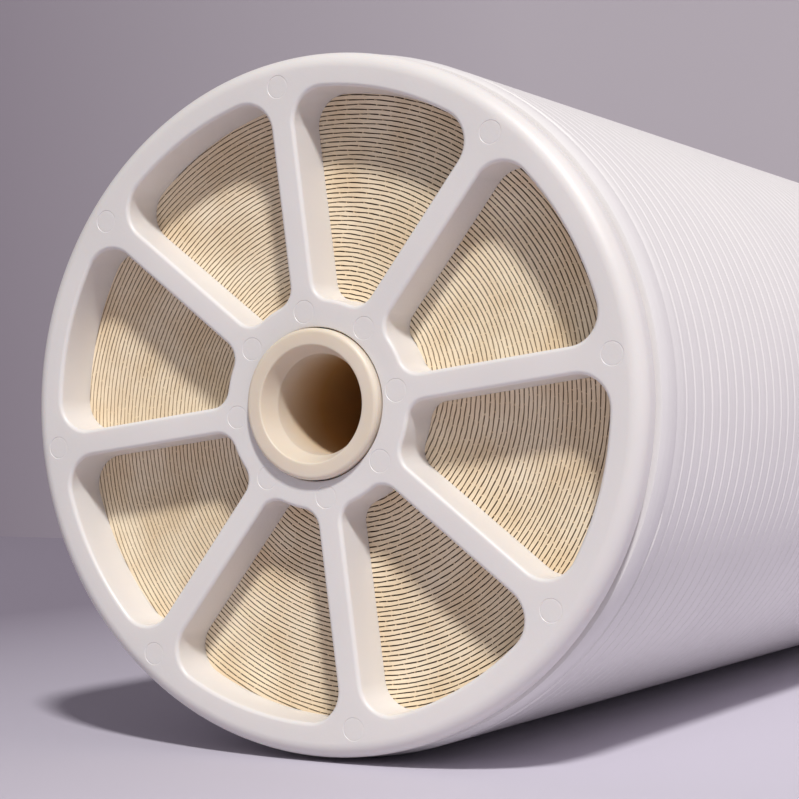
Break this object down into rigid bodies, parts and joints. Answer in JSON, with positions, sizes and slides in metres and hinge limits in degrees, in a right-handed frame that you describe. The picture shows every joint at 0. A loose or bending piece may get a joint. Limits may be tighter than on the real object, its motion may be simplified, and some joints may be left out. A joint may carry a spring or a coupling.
{
  "type": "ro membrane element",
  "caption": "Long round membrane element: a wound roll in a ribbed hard shell, with a spoked cap at each end and a centre tube for the filtered water.",
  "frame": {"origin": "centre of the bottom end cap's face, on which the element stands", "axes": "+Z along the permeate tube, up to the end whose tube stands proud; +X and +Y along two of the spokes"},
  "size_m": [0.2006, 0.2006, 0.9652],
  "materials": {
    "tube_plastic": "satin cream plastic",
    "cap_plastic": "satin white moulded plastic",
    "membrane": "cut edges of wound sheets",
    "wrap_film": "translucent yellowish film",
    "glass_fibre": "wound glass fibre in white resin"
  },
  "bodies": {
    "root": {"permeate_tube": "tube_plastic", "top_end_cap": "cap_plastic", "bottom_end_cap": "cap_plastic", "membrane_roll": "membrane", "inner_wrap": "wrap_film", "outer_shell": "glass_fibre"}
  },
  "joints": []
}
